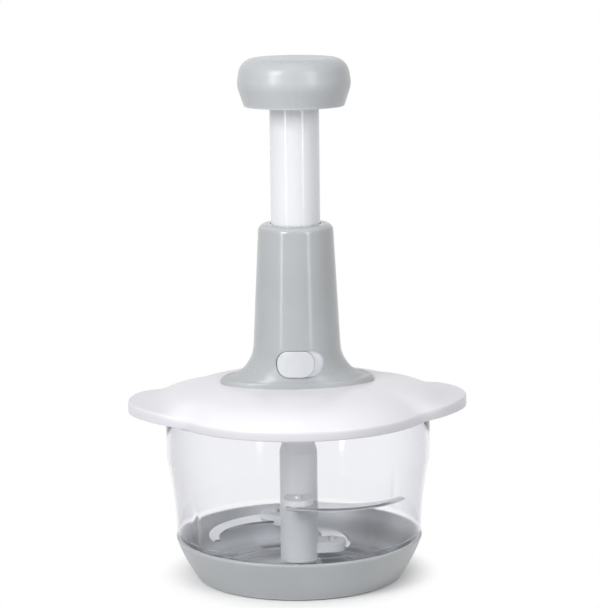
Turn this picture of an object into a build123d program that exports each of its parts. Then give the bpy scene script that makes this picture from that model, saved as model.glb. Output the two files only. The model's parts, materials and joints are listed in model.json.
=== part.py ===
from build123d import *
from math import cos, hypot, radians, sin, sqrt
import os

os.makedirs("parts", exist_ok=True)

# Plunger food chopper. Millimetres, +Z up. The origin is the centre of the base's underside.

# ---------------------------------------------------------------- driving dimensions
# Clearances
fit_gap = 0.05  # pressed or clamped faces of one assembly
run_gap = 0.3  # faces that slide or turn on each other
nest_gap = 0.4  # bowl in base cup

# Base cup and its soft ring
base_height = 26.5
base_rim_inset = 5.0  # from the bowl's widest part
base_belly_inset = 7.2  # from the base's rim
base_belly_height = 10.4
base_foot_inset = 13.4
base_wall = 2.4
base_floor = 2.6
base_rim_round = 0.8
ledge_height = 0.8
ledge_inset = 10.8  # from the base's foot
ledge_width = 6.0
step_radius = 38.0
step_height = 0.5
ring_proud = 0.6
ring_depth = 1.2
ring_inset = 6.8  # from the base's foot
ring_width = 8.0

# Bowl
bowl_radius = 84.2
bowl_top = 110.0
bowl_wall = 2.3
bowl_floor = 2.4
bowl_bulge_height = 78.0
bowl_step_rise = 3.5
bowl_floor_round = 6.0
bowl_rib_count = 4
bowl_rib_turn = 37.0
bowl_rib_groove = 2.6
bowl_rib_depth = 0.9
bowl_rib_start = 7.0  # above the base's rim
bowl_rib_end = 14.0  # below the bowl's rim
boss_radius = 8.0
boss_height = 1.5
pin_radius = 2.5
pin_buried = 2.4
pin_standing = 15.0

# Blade unit
hub_radius = 12.1
hub_neck_radius = 10.3
hub_neck = 20.0
hub_taper = 5.0
hub_short = 6.0  # below the bowl's rim
hub_foot_round = 1.8
hub_neck_round = 1.6
hub_socket_depth = 15.0
hex_radius = 6.4
blade_thick = 1.3
blade_inset = 10.7  # of the tips from the base's rim
blade_sweep = 87.0
blade_belly = 48.5
blade_hollow = 39.0
blade_hollow_turn = 57.0
blade_heel_turn = -11.5
blade_root_turns = (-15.0, 31.0)
blade_root_gap = 1.5
blade_tip_width = 4.5
blade_tip_turn = -1.0
blade_bevel_width = 2.2
blade_bevel_depth = 0.9
blade_heights = {"upper": 50.0, "middle": 32.0, "lower": 15.5}
blade_turns = {"upper": 261.0, "middle": 127.0, "lower": 8.0}
arm_reach = 21.0
arm_pad_radius = 10.0
arm_root_radius = 6.5
arm_side = 1.0
arm_cover = 3.4
arm_under = 2.0
arm_round = 1.2
rivet_radius = 2.0
rivet_head_radius = 2.6
rivet_head = 2.2
rivet_head_round = 1.3
rivet_tail = 0.7

# Lid
lid_skirt_wall = 2.1
lid_lap = 4.7  # of the skirt over the bowl's rim
lid_rim_rise = 1.5  # of the dome's edge above the bowl's rim
lid_crown = 14.5  # of the flat deck above the dome's edge
lid_deck_radius = 42.0
lid_extra_length = 11.258  # of the dome along X, beyond its radius
lid_wall = 2.3
lid_rim_round = 1.2
plug_gap = 0.4
plug_wall = 2.3
seal_rise = 0.9
seal_height = 2.4
seal_depth = 1.4
ear_overhang = 21.4  # beyond the skirt
ear_radius = 48.0
ear_blend = 70.0
ear_rise = 4.3  # of the ear's top above the dome's edge
ear_flat = 37.0  # half the width of the ear's level top
ear_crown = 60.0
ear_lift = 3.4  # of the ear's underside above the skirt's edge
ear_recess = 2.6
ear_wall = 2.2
ear_rib = 1.6
ear_rib_spacing = 28.0
lid_boss_radius = 15.5
lid_boss_rise = 0.5

# Tower
tower_height = 101.0  # above the lid's deck
tower_top_radius = 23.6
tower_top_round = 4.6
tower_waist_rise = 26.0
tower_waist_radius = 27.5
tower_wall = 2.3
tower_mouth_gap = 0.5
tower_mouth_wall = 3.0
flare_reach = 18.5
flare_depth = 1.0
flare_steps = 6
lip_height = 3.5
lip_reach = 3.2
lip_depth = 0.3
lip_steps = 4
foot_lap = 0.1
foot_boss_x = 38.0
foot_boss_y = 11.0
foot_boss_radius = 3.4
tower_rib_width = 4.0
tower_rib_radius = 18.4
screw_radius = 1.4
screw_head_radius = 2.8
screw_head = 1.8
screw_tip_gap = 0.6

# Slide lock, turning round the tower's axis
lock_rise = 15.5  # of the slot's middle above the deck
slot_width = 30.0
slot_tall = 17.2
slot_corner = 7.7
slot_floor_radius = 26.0
slot_back_radius = 23.6
lock_turn = 12.5
button_width = 23.6
button_proud = 1.2
button_round = 0.9
neck_width = 8.0
neck_tall = 6.0
latch_inner = 20.9
latch_span = 27.0
latch_tall = 5.4
tongue_radius = 17.6
tongue_width = 5.0
tongue_tall = 2.5
tongue_drop = 2.2  # below the lock's middle
tongue_lap = 0.5
latch_screw_radius = 1.2
latch_screw_head = 2.2

# Plunger
stroke = 68.0
tube_radius = 15.6
tube_wall = 2.2
tube_short = 9.0  # below the knob's top
tube_roof = 2.5
tube_grip = 0.8
collar_radius = 19.0
collar_height = 2.5
nut_radius = 20.0
nut_thick = 6.0
nut_plug = 7.0
nut_plug_wall = 2.5
notch_width = 6.2
knob_clear = 6.0  # between knob and tower when pressed
knob_height = 30.0
knob_bottom_radius = 31.5
knob_belly_radius = 35.9
knob_belly_rise = 13.5
knob_top_radius = 33.2
knob_bottom_round = 1.4
knob_belly_round = 14.0
knob_top_round = 10.5
knob_wall = 2.6
knob_plate = 2.6
knob_plate_inset = 0.4
knob_screw_circle = 23.8
knob_screw_count = 3
knob_screw_depth = 10.0
knob_boss_radius = 3.6
knob_collar_wall = 2.4

# Drive
spindle_lead = 25.0
bar_width = 8.0
bar_thick = 3.0
bar_over_nut = 8.0
spindle_disc_radius = 11.0
spindle_disc = 2.2
tang_width = 6.0
tang_depth = 10.0
bush_radius = 11.0
bush_flange_radius = 14.0
bush_flange = 2.4
journal_radius = 8.0
seal_ring_radius = 13.1
seal_ring_height = 2.4
coupling_collar_radius = 12.4
coupling_collar = 3.6
coupling_gap = 2.4
coupling_screw_radius = 1.5
stop_ring_inner = 15.0
stop_ring_outer = 19.5
seat_radius = 11.8
seat_disc = 2.0
seat_boss_radius = 7.0
seat_boss_depth = 4.0
seat_spigot_radius = 8.6
seat_spigot = 3.5

# Return spring
wire_radius = 0.6
coil_radius = 10.4
coil_count = 14

# ---------------------------------------------------------------- worked-out places
base_rim_radius = bowl_radius - base_rim_inset
base_belly_radius = base_rim_radius - base_belly_inset
base_foot_radius = base_rim_radius - base_foot_inset
ring_outer = base_foot_radius - ring_inset
ring_inner = ring_outer - ring_width
ledge_outer = base_foot_radius - ledge_inset
ledge_inner = ledge_outer - ledge_width
base_underside = ring_proud
base_inside = base_underside + base_floor
bowl_seat = base_inside + ledge_height
bowl_inside = bowl_seat + bowl_floor
bowl_shoulder = base_height + run_gap
bowl_rib_low = base_height + bowl_rib_start
bowl_rib_high = bowl_top - bowl_rib_end
boss_top = bowl_inside + boss_height
hub_bottom = boss_top + run_gap
hub_top = bowl_top - hub_short
hub_neck_start = hub_top - hub_neck
hub_shoulder = hub_neck_start - hub_taper
pin_top = boss_top + pin_standing
blade_reach = base_rim_radius - blade_inset
lid_skirt_inner = bowl_radius + run_gap
lid_radius = lid_skirt_inner + lid_skirt_wall
lid_skirt_bottom = bowl_top - lid_lap
lid_stretch = (lid_radius + lid_extra_length) / lid_radius
lid_rim = bowl_top + lid_rim_rise
lid_deck = lid_rim + lid_crown
lid_underside = lid_deck - lid_wall
lid_boss_bottom = bowl_top + lid_boss_rise
plug_outer = bowl_radius - bowl_wall - plug_gap
plug_inner = plug_outer - plug_wall
seal_low = lid_skirt_bottom + seal_rise
seal_high = seal_low + seal_height
ear_tip = lid_radius + ear_overhang
ear_centre = ear_tip - ear_radius
ear_bottom = lid_skirt_bottom + ear_lift
ear_top = lid_rim + ear_rise
tower_waist = lid_deck + tower_waist_rise
tower_top = lid_deck + tower_height
lock_height = lid_deck + lock_rise
flare_bottom = lid_deck + lip_height
flare_drop = tower_waist - flare_bottom
foot_x = tower_waist_radius + flare_reach + lip_reach
foot_y = tower_waist_radius + flare_depth + lip_depth
tube_bore = tube_radius - tube_wall
tongue_bottom = lock_height - tongue_drop
nut_pressed_top = tongue_bottom - run_gap
tube_bottom = nut_pressed_top + stroke
nut_bottom = tube_bottom - nut_thick
knob_bottom = tower_top + stroke + knob_clear
knob_top = knob_bottom + knob_height
knob_belly_height = knob_bottom + knob_belly_rise
tube_top = knob_top - tube_short
bar_top = tube_bottom + nut_plug + bar_over_nut
sleeve_bottom = tube_bottom + 2 * run_gap
sleeve_top = tower_top - tower_mouth_wall
sleeve_radius = nut_radius + 2 * run_gap
stop_ring_top = nut_pressed_top - nut_thick - run_gap
tower_rib_bottom = stop_ring_top + run_gap
spindle_disc_bottom = lid_deck + bush_flange + run_gap
bar_bottom = spindle_disc_bottom + spindle_disc
coupling_collar_bottom = hub_top + coupling_gap
coupling_collar_top = coupling_collar_bottom + coupling_collar
socket_bottom = hub_top - hub_socket_depth
plug_tip = socket_bottom + coupling_gap
plate_bottom = knob_bottom + knob_plate_inset
plate_top = plate_bottom + knob_plate
collar_top = plate_top + collar_height
tube_ceiling = tube_top - tube_roof
knob_ceiling = knob_top - knob_wall
seat_bottom = bar_top + run_gap + seat_disc - seat_boss_depth
seat_disc_bottom = seat_bottom + seat_boss_depth
seat_disc_top = seat_disc_bottom + seat_disc
lock_rest = -90.0 - lock_turn / 2


# ---------------------------------------------------------------- shared geometry
def circle_through(a, b, c):
    """Centre and radius of the circle through three points of a profile."""
    d = 2 * (a[0] * (b[1] - c[1]) + b[0] * (c[1] - a[1]) + c[0] * (a[1] - b[1]))
    squares = [p[0] ** 2 + p[1] ** 2 for p in (a, b, c)]
    x = (squares[0] * (b[1] - c[1]) + squares[1] * (c[1] - a[1]) + squares[2] * (a[1] - b[1])) / d
    z = (squares[0] * (c[0] - b[0]) + squares[1] * (a[0] - c[0]) + squares[2] * (b[0] - a[0])) / d
    return x, z, hypot(a[0] - x, a[1] - z)


def polar(radius, angle):
    """Point at a radius and an angle in degrees."""
    return radius * cos(radians(angle)), radius * sin(radians(angle))


cup_arc = circle_through(
    (base_foot_radius, base_underside),
    (base_belly_radius, base_belly_height),
    (base_rim_radius, base_height),
)
dome_reach = lid_radius - lid_deck_radius
dome_arc_radius = (dome_reach**2 + lid_crown**2) / (2 * lid_crown)
bulge_rise = bowl_bulge_height - bowl_shoulder
bulge_depth = bowl_radius - base_rim_radius
bulge_arc_radius = (bulge_rise**2 + bulge_depth**2) / (2 * bulge_depth)


def cup_side(height, inset):
    """Radius of the cup's rounded side, moved inwards by an inset."""
    x, z, radius = cup_arc
    return x + sqrt((radius - inset) ** 2 - (height - z) ** 2)


def dome_height(radius, inset):
    """Height of the lid's dome outside its deck, moved inwards by an inset."""
    arc_radius = dome_arc_radius - inset
    return lid_deck - dome_arc_radius + sqrt(arc_radius**2 - (radius - lid_deck_radius) ** 2)


def bowl_side(height, inset):
    """Radius of the bowl's bulged wall, moved inwards by an inset."""
    arc_radius = bulge_arc_radius - inset
    return bowl_radius - bulge_arc_radius + sqrt(arc_radius**2 - (height - bowl_bulge_height) ** 2)


def cup_curve(low, high, inset):
    """The cup's side as an arc from one height to another."""
    points = [(cup_side(z, inset), z) for z in (low, (low + high) / 2, high)]
    return ThreePointArc(*points)


def bowl_curve(low, high, inset):
    """The bowl's bulged wall as an arc from one height to another."""
    points = [(bowl_side(z, inset), z) for z in (low, (low + high) / 2, high)]
    return ThreePointArc(*points)


def export(part, name):
    """Label a finished piece and write its STEP file."""
    part.label = name
    export_step(part, f"parts/{name}.step")


# ---------------------------------------------------------------- base
with BuildPart() as base_cup:
    with BuildSketch(Plane.XZ):
        with BuildLine():
            outside = cup_curve(base_underside, base_height, 0)
            inside = cup_curve(base_inside, base_height, base_wall)
            Line(outside @ 1, inside @ 1)
            Polyline(inside @ 0, (0, base_inside), (0, base_underside), outside @ 0)
        make_face()
    revolve(axis=Axis.Z)
    fillet(base_cup.edges().group_by(Axis.Z)[-1], base_rim_round)
    with BuildSketch(Plane.XY.offset(base_inside)):
        Circle(ledge_outer)
        Circle(ledge_inner, mode=Mode.SUBTRACT)
    extrude(amount=ledge_height)
    with BuildSketch(Plane.XY.offset(base_inside)):
        Circle(step_radius)
    extrude(amount=-step_height, mode=Mode.SUBTRACT)
    with BuildSketch(Plane.XY.offset(base_underside)):
        Circle(ring_outer)
        Circle(ring_inner, mode=Mode.SUBTRACT)
    extrude(amount=ring_depth, mode=Mode.SUBTRACT)
export(base_cup.part, "base_cup")

with BuildPart() as anti_slip_ring:
    with BuildSketch():
        Circle(ring_outer - fit_gap)
        Circle(ring_inner + fit_gap, mode=Mode.SUBTRACT)
    extrude(amount=ring_proud + ring_depth)
    chamfer(anti_slip_ring.edges().group_by(Axis.Z)[0], ring_proud / 2)
export(anti_slip_ring.part, "anti_slip_ring")

# ---------------------------------------------------------------- bowl
lower_outset = base_wall + nest_gap
lower_inset = lower_outset + bowl_wall
step_top = bowl_shoulder + bowl_step_rise

with BuildPart() as bowl_solid:
    with BuildSketch(Plane.XZ):
        with BuildLine():
            lower = cup_curve(bowl_seat, bowl_shoulder, lower_outset)
            upper = bowl_curve(bowl_shoulder, bowl_bulge_height, 0)
            Line(lower @ 1, upper @ 0)
            Polyline(upper @ 1, (bowl_radius, bowl_top), (0, bowl_top), (0, bowl_seat), lower @ 0)
        make_face()
    revolve(axis=Axis.Z)

with BuildPart() as bowl_room:
    with BuildSketch(Plane.XZ):
        with BuildLine():
            lower = cup_curve(bowl_inside, bowl_shoulder - bowl_wall, lower_inset)
            upper = bowl_curve(step_top, bowl_bulge_height, bowl_wall)
            Line(lower @ 1, upper @ 0)
            room_radius = bowl_radius - bowl_wall
            Polyline(upper @ 1, (room_radius, bowl_top), (0, bowl_top), (0, bowl_inside), lower @ 0)
        make_face()
    revolve(axis=Axis.Z)
    fillet(bowl_room.edges().group_by(Axis.Z)[0], bowl_floor_round)


def rib_bar(radius):
    """A round bar that dips into the bowl's outer wall, with rounded ends."""
    standoff = bowl_rib_groove - bowl_rib_depth
    with BuildPart() as bar:
        with BuildLine(Plane.XZ) as path:
            bulge = bowl_curve(bowl_rib_low, bowl_bulge_height, -standoff)
            Line(bulge @ 1, (bowl_radius + standoff, bowl_rib_high))
        with BuildSketch(Plane(path.line @ 0, z_dir=path.line % 0)):
            Circle(radius)
        sweep(path=path.line)
        with Locations(path.line @ 0, path.line @ 1):
            Sphere(radius)
    return bar.part


with BuildPart() as bowl_ridge:
    add(rib_bar(bowl_rib_groove + bowl_wall))
    add(bowl_solid.part, mode=Mode.INTERSECT)

with BuildPart() as bowl:
    add(bowl_solid.part)
    add(bowl_room.part, mode=Mode.SUBTRACT)
    with PolarLocations(0, bowl_rib_count, start_angle=bowl_rib_turn):
        add(bowl_ridge.part)
        add(rib_bar(bowl_rib_groove), mode=Mode.SUBTRACT)
    with BuildSketch(Plane.XY.offset(bowl_inside)):
        Circle(boss_radius)
    extrude(amount=boss_height)
    with BuildSketch(Plane.XY.offset(boss_top)):
        Circle(pin_radius + fit_gap)
    extrude(amount=-boss_height - pin_buried + fit_gap, mode=Mode.SUBTRACT)
export(bowl.part, "bowl")

with BuildPart() as blade_pin:
    with BuildSketch(Plane.XY.offset(bowl_inside - pin_buried + fit_gap)):
        Circle(pin_radius)
    extrude(amount=pin_top - bowl_inside + pin_buried - fit_gap)
    fillet(blade_pin.edges().group_by(Axis.Z)[-1], pin_radius / 2)
export(blade_pin.part, "blade_pin")


# ---------------------------------------------------------------- blade unit
def turned_plane(height, angle):
    """Level plane at a height, with its X axis turned about the main axis."""
    return Plane((0, 0, height), x_dir=(*polar(1, angle), 0), z_dir=(0, 0, 1))


def blade_outline(grow=0.0):
    """Sickle outline, pointing along X at its root and hooked round by the sweep."""
    with BuildSketch() as outline:
        with BuildLine():
            heel = polar(arm_reach + arm_pad_radius, blade_heel_turn)
            tip = polar(blade_reach, blade_sweep)
            tip_inner = polar(blade_reach - blade_tip_width, blade_sweep - blade_tip_turn)
            back = ThreePointArc(heel, polar(blade_belly, blade_sweep / 2), tip)
            root = [polar(hub_radius + blade_root_gap, turn) for turn in blade_root_turns]
            Line(tip, tip_inner)
            ThreePointArc(tip_inner, polar(blade_hollow, blade_hollow_turn), root[1])
            Polyline(root[1], root[0], back @ 0)
        make_face()
        if grow:
            offset(amount=grow)
    return outline.sketch


def arm_outline():
    """Pad of the arm that grips the blade's root, drawn out to the hub."""
    with BuildSketch() as outline:
        Circle(arm_root_radius)
        with Locations((arm_reach, arm_side)):
            Circle(arm_pad_radius)
        make_hull()
    return outline.sketch


rivet_place = (arm_reach + arm_side, arm_side)

with BuildPart() as blade_hub:
    with BuildSketch(Plane.XZ):
        with BuildLine():
            Polyline(
                (0, hub_bottom),
                (hub_radius, hub_bottom),
                (hub_radius, hub_shoulder),
                (hub_neck_radius, hub_neck_start),
                (hub_neck_radius, hub_top),
                (0, hub_top),
                close=True,
            )
        make_face()
    revolve(axis=Axis.Z)
    fillet(blade_hub.edges().group_by(Axis.Z)[0], hub_foot_round)
    fillet(blade_hub.edges().group_by(Axis.Z)[-1], hub_neck_round)
    for name, height in blade_heights.items():
        with BuildSketch(turned_plane(height - arm_under, blade_turns[name])):
            add(arm_outline())
        extrude(amount=arm_under + blade_thick + arm_cover)
    arm_edges = blade_hub.edges().filter_by(
        lambda edge: edge.geom_type == GeomType.CIRCLE
        and abs(edge.radius - arm_pad_radius) < fit_gap
    )
    fillet(arm_edges, arm_round)
    for name, height in blade_heights.items():
        with BuildSketch(turned_plane(height, blade_turns[name])):
            add(blade_outline(fit_gap))
        extrude(amount=blade_thick, mode=Mode.SUBTRACT)
        with BuildSketch(turned_plane(height - arm_under, blade_turns[name])):
            with Locations(rivet_place):
                Circle(rivet_radius + fit_gap)
        extrude(amount=arm_under + blade_thick + arm_cover, mode=Mode.SUBTRACT)
    with BuildSketch(Plane.XY.offset(hub_top)):
        RegularPolygon(hex_radius + run_gap, 6)
    extrude(amount=-hub_socket_depth, mode=Mode.SUBTRACT)
    with BuildSketch(Plane.XY.offset(hub_bottom)):
        Circle(pin_radius + run_gap)
    extrude(amount=pin_top + run_gap - hub_bottom, mode=Mode.SUBTRACT)
export(blade_hub.part, "blade_hub")


def sickle(name):
    """One blade with its ground bevel and rivet hole."""
    height = blade_heights[name]
    with BuildPart() as blade:
        with BuildSketch(turned_plane(height, blade_turns[name])):
            add(blade_outline())
            with Locations(rivet_place):
                Circle(rivet_radius + fit_gap, mode=Mode.SUBTRACT)
        extrude(amount=blade_thick)
        rims = blade.edges().group_by(Axis.Z)[-1]
        cutting_edge = rims.sort_by(SortBy.LENGTH)[-1]
        chamfer(cutting_edge, blade_bevel_depth, blade_bevel_width)
    return blade.part


for name in blade_heights:
    export(sickle(name), f"blade_{name}")

with BuildPart() as blade_rivets:
    for name, height in blade_heights.items():
        arm_top = height + blade_thick + arm_cover
        with BuildSketch(turned_plane(height - arm_under - rivet_tail, blade_turns[name])):
            with Locations(rivet_place):
                Circle(rivet_head_radius)
        extrude(amount=rivet_tail)
        with BuildSketch(turned_plane(height - arm_under, blade_turns[name])):
            with Locations(rivet_place):
                Circle(rivet_radius)
        extrude(amount=arm_under + blade_thick + arm_cover)
        with BuildSketch(turned_plane(arm_top, blade_turns[name])):
            with Locations(rivet_place):
                Circle(rivet_head_radius)
        extrude(amount=rivet_head)
    domes = blade_rivets.edges().filter_by(GeomType.CIRCLE)
    heads = [h + blade_thick + arm_cover + rivet_head for h in blade_heights.values()]
    fillet(
        [e for e in domes if any(abs(e.center().Z - h) < fit_gap for h in heads)],
        rivet_head_round,
    )
export(blade_rivets.part, "blade_rivets")


# ---------------------------------------------------------------- lid
def lid_plan():
    """Plan of the lid: a disc and two ears, joined by hollow curves."""
    with BuildSketch() as plan:
        Circle(lid_radius)
        with GridLocations(2 * ear_centre, 0, 2, 1):
            Circle(ear_radius)
        fillet(plan.vertices().filter_by(lambda corner: abs(corner.Y) > fit_gap), ear_blend)
    return plan.sketch


def lid_cap(inset):
    """The lid's dome down to the skirt's edge, moved inwards by an inset and stretched along X."""
    with BuildPart() as cap:
        with BuildSketch(Plane.XZ):
            with BuildLine():
                radii = (lid_deck_radius, (lid_deck_radius + lid_radius) / 2, lid_radius)
                crown = ThreePointArc(*[(r, dome_height(r, inset)) for r in radii])
                Polyline(
                    crown @ 1,
                    (lid_radius, lid_skirt_bottom),
                    (0, lid_skirt_bottom),
                    (0, lid_deck - inset),
                    crown @ 0,
                )
            make_face()
        revolve(axis=Axis.Z)
        scale(by=(lid_stretch, 1, 1))
    return cap.part


with BuildPart() as ear_plate:
    with BuildSketch(Plane.XY.offset(ear_bottom)):
        add(lid_plan())
    extrude(amount=ear_top - ear_bottom)
    with BuildSketch(Plane.YZ) as ear_profile:
        with BuildLine():
            Polyline(
                (-lid_radius, lid_skirt_bottom),
                (-ear_flat, ear_top),
                (ear_flat, ear_top),
                (lid_radius, lid_skirt_bottom),
                close=True,
            )
        make_face()
        fillet(ear_profile.vertices().group_by(Axis.Y)[-1], ear_crown)
    extrude(amount=ear_tip, both=True, mode=Mode.INTERSECT)

with BuildPart() as ear_hollow:
    with BuildSketch(Plane.XY.offset(ear_bottom)):
        with GridLocations(2 * ear_centre, 0, 2, 1):
            Circle(ear_radius - ear_wall)
        Circle(lid_radius + ear_rib, mode=Mode.SUBTRACT)
        with GridLocations(0, ear_rib_spacing, 1, 2):
            Rectangle(2 * ear_tip, ear_rib, mode=Mode.SUBTRACT)
    extrude(amount=ear_recess)

with BuildPart() as lid_room:
    add(lid_cap(lid_wall))
    with BuildSketch(Plane.XY.offset(lid_skirt_bottom)):
        Circle(plug_inner)
    extrude(amount=lid_deck - lid_skirt_bottom, mode=Mode.INTERSECT)
    with BuildSketch(Plane.XY.offset(lid_boss_bottom)):
        Circle(lid_boss_radius)
    extrude(amount=lid_deck - lid_boss_bottom, mode=Mode.SUBTRACT)

with BuildPart() as lid:
    with BuildSketch(Plane.XY.offset(ear_bottom)):
        add(lid_plan())
    extrude(amount=lid_deck - ear_bottom)
    add(lid_cap(0), mode=Mode.INTERSECT)
    add(ear_plate.part)
    side_edges = lid.faces().filter_by(GeomType.CYLINDER).edges()
    fillet(side_edges.filter_by(lambda edge: edge.bounding_box().min.Z > bowl_top), lid_rim_round)
    with BuildSketch(Plane.XY.offset(lid_skirt_bottom)):
        Circle(lid_radius)
    extrude(amount=ear_lift)
    add(ear_hollow.part, mode=Mode.SUBTRACT)
    add(lid_room.part, mode=Mode.SUBTRACT)
    # Channel for the bowl's rim, with the groove for the seal in the plug ring
    with BuildSketch(Plane.XZ):
        with BuildLine():
            Polyline(
                (plug_outer, lid_skirt_bottom),
                (lid_skirt_inner, lid_skirt_bottom),
                (lid_skirt_inner, bowl_top),
                (plug_outer, bowl_top),
                (plug_outer, seal_high),
                (plug_outer - seal_depth, seal_high),
                (plug_outer - seal_depth, seal_low),
                (plug_outer, seal_low),
                close=True,
            )
        make_face()
    revolve(axis=Axis.Z, mode=Mode.SUBTRACT)
    # Seat of the shaft seal and bore of the bush in the centre boss
    with BuildSketch(Plane.XY.offset(lid_boss_bottom)):
        Circle(seal_ring_radius + fit_gap)
    extrude(amount=seal_ring_height, mode=Mode.SUBTRACT)
    with BuildSketch(Plane.XY.offset(lid_boss_bottom)):
        Circle(bush_radius + fit_gap)
    extrude(until=Until.LAST, mode=Mode.SUBTRACT)
    with BuildSketch(Plane.XY.offset(lid_deck)):
        with GridLocations(2 * foot_boss_x, 2 * foot_boss_y, 2, 2):
            Circle(screw_radius + fit_gap)
    extrude(amount=-2 * lid_wall, mode=Mode.SUBTRACT)
export(lid.part, "lid")

with BuildPart() as lid_seal:
    with BuildSketch(Plane.XY.offset(seal_low + fit_gap)):
        Circle(bowl_radius - bowl_wall - run_gap)
        Circle(plug_outer - seal_depth + fit_gap, mode=Mode.SUBTRACT)
    extrude(amount=seal_high - seal_low - 2 * fit_gap)
export(lid_seal.part, "lid_seal")

with BuildPart() as spindle_bush:
    with BuildSketch(Plane.XY.offset(lid_boss_bottom + seal_ring_height)):
        Circle(bush_radius)
    extrude(amount=lid_deck - lid_boss_bottom - seal_ring_height)
    with BuildSketch(Plane.XY.offset(lid_deck)):
        Circle(bush_flange_radius)
    extrude(amount=bush_flange)
    with BuildSketch(Plane.XY.offset(lid_boss_bottom)):
        Circle(journal_radius + run_gap)
    extrude(until=Until.LAST, mode=Mode.SUBTRACT)
export(spindle_bush.part, "spindle_bush")

with BuildPart() as shaft_seal:
    with BuildSketch(Plane.XY.offset(lid_boss_bottom)):
        Circle(seal_ring_radius)
        Circle(journal_radius + run_gap, mode=Mode.SUBTRACT)
    extrude(amount=seal_ring_height)
export(shaft_seal.part, "shaft_seal")

with BuildPart() as stop_ring:
    with BuildSketch(Plane.XY.offset(lid_deck)):
        Circle(stop_ring_outer)
        Circle(stop_ring_inner, mode=Mode.SUBTRACT)
    extrude(amount=stop_ring_top - lid_deck)
    fillet(stop_ring.edges().group_by(Axis.Z)[-1], (stop_ring_outer - stop_ring_inner) / 4)
export(stop_ring.part, "stop_ring")


# ---------------------------------------------------------------- tower
def flare_section(step, inset):
    """Half-axes and height of one level of the flare, moved inwards by an inset."""
    turn = radians(90 * step / flare_steps)
    slope = hypot(flare_drop * cos(turn), flare_reach * sin(turn))
    x = tower_waist_radius + flare_reach * (1 - cos(turn)) - inset * flare_drop * cos(turn) / slope
    y = tower_waist_radius + flare_depth * (1 - cos(turn)) - inset
    z = tower_waist - flare_drop * sin(turn) - inset * flare_reach * sin(turn) / slope
    return x, y, z


def lip_section(step):
    """Half-axes and height of one level of the rounded lip under the flare."""
    turn = radians(90 * step / lip_steps)
    x = foot_x - lip_reach * (1 - sin(turn))
    y = foot_y - lip_depth * (1 - sin(turn))
    return x, y, lid_deck + lip_height * cos(turn)


with BuildPart() as tower_foot:
    levels = [flare_section(step, 0) for step in range(flare_steps + 1)]
    levels += [lip_section(step) for step in range(1, lip_steps + 1)]
    for x, y, z in levels:
        with BuildSketch(Plane.XY.offset(z)):
            Ellipse(x, y)
    loft()

with BuildPart() as foot_room:
    for step in range(flare_steps + 1):
        x, y, z = flare_section(step, tower_wall)
        with BuildSketch(Plane.XY.offset(z)):
            Ellipse(x, y)
    loft()
    with BuildSketch(Plane.XY.offset(lid_deck)):
        Ellipse(foot_x - tower_wall, foot_y - tower_wall)
    extrude(amount=lip_height - tower_wall + foot_lap)


front = Plane((0, 0, lock_height), x_dir=(1, 0, 0), z_dir=(0, -1, 0))


def tower_radius(height):
    """Outer radius of the tower's cone, carried on below its waist."""
    fall = (tower_waist_radius - tower_top_radius) / (tower_top - tower_waist)
    return tower_top_radius + (tower_top - height) * fall


with BuildPart() as pocket_back:
    with BuildSketch(front):
        RectangleRounded(slot_width + 2 * tower_wall, slot_tall + 2 * tower_wall, slot_corner)
    extrude(amount=foot_x)
    with BuildSketch():
        Circle(slot_back_radius)
    extrude(amount=tower_top, mode=Mode.SUBTRACT)

with BuildPart() as pocket:
    with BuildSketch(front):
        RectangleRounded(slot_width, slot_tall, slot_corner)
    extrude(amount=foot_x)
    with BuildSketch():
        Circle(slot_floor_radius)
    extrude(amount=tower_top, mode=Mode.SUBTRACT)

with BuildPart() as tower_room:
    add(foot_room.part)
    with BuildSketch(Plane.XZ):
        with BuildLine():
            Polyline(
                (0, tower_waist),
                (tower_waist_radius - tower_wall, tower_waist),
                (tower_radius(tube_bottom) - tower_wall, tube_bottom),
                (0, tube_bottom),
                close=True,
            )
        make_face()
    revolve(axis=Axis.Z)
    # Two upright ribs that the nut's flange runs along
    with BuildSketch(Plane.XY.offset(tower_rib_bottom)):
        Rectangle(2 * foot_x, tower_rib_width)
        Circle(tower_rib_radius, mode=Mode.SUBTRACT)
    extrude(amount=tube_bottom - tower_rib_bottom, mode=Mode.SUBTRACT)
    add(pocket_back.part, mode=Mode.SUBTRACT)
    with BuildSketch(Plane.XY.offset(lid_deck)):
        with GridLocations(2 * foot_boss_x, 2 * foot_boss_y, 2, 2):
            Circle(foot_boss_radius)
    extrude(amount=flare_drop, mode=Mode.SUBTRACT)

with BuildPart() as tower:
    with BuildSketch(Plane.XZ):
        with BuildLine():
            Polyline(
                (0, tower_waist),
                (tower_waist_radius, tower_waist),
                (tower_top_radius, tower_top),
                (0, tower_top),
                close=True,
            )
        make_face()
    revolve(axis=Axis.Z)
    fillet(tower.edges().group_by(Axis.Z)[-1], tower_top_round)
    add(tower_foot.part)
    add(tower_room.part, mode=Mode.SUBTRACT)
    add(pocket.part, mode=Mode.SUBTRACT)
    with BuildSketch(Plane.XY.offset(tube_bottom)):
        Circle(sleeve_radius + fit_gap)
    extrude(amount=sleeve_top - tube_bottom, mode=Mode.SUBTRACT)
    with BuildSketch(Plane.XY.offset(sleeve_top)):
        Circle(tube_radius + tower_mouth_gap)
    extrude(amount=tower_mouth_wall, mode=Mode.SUBTRACT)
    # Window behind the button, long enough for the neck's travel
    with BuildSketch(front):
        travel = 2 * slot_floor_radius * sin(radians(lock_turn / 2))
        Rectangle(neck_width + travel + 4 * run_gap, neck_tall + 2 * run_gap)
    extrude(amount=foot_x, mode=Mode.SUBTRACT)
    with BuildSketch(Plane.XY.offset(lid_deck)):
        with GridLocations(2 * foot_boss_x, 2 * foot_boss_y, 2, 2):
            Circle(screw_radius + fit_gap)
    extrude(amount=flare_bottom - tower_wall - lid_deck, mode=Mode.SUBTRACT)
export(tower.part, "tower")

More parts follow.
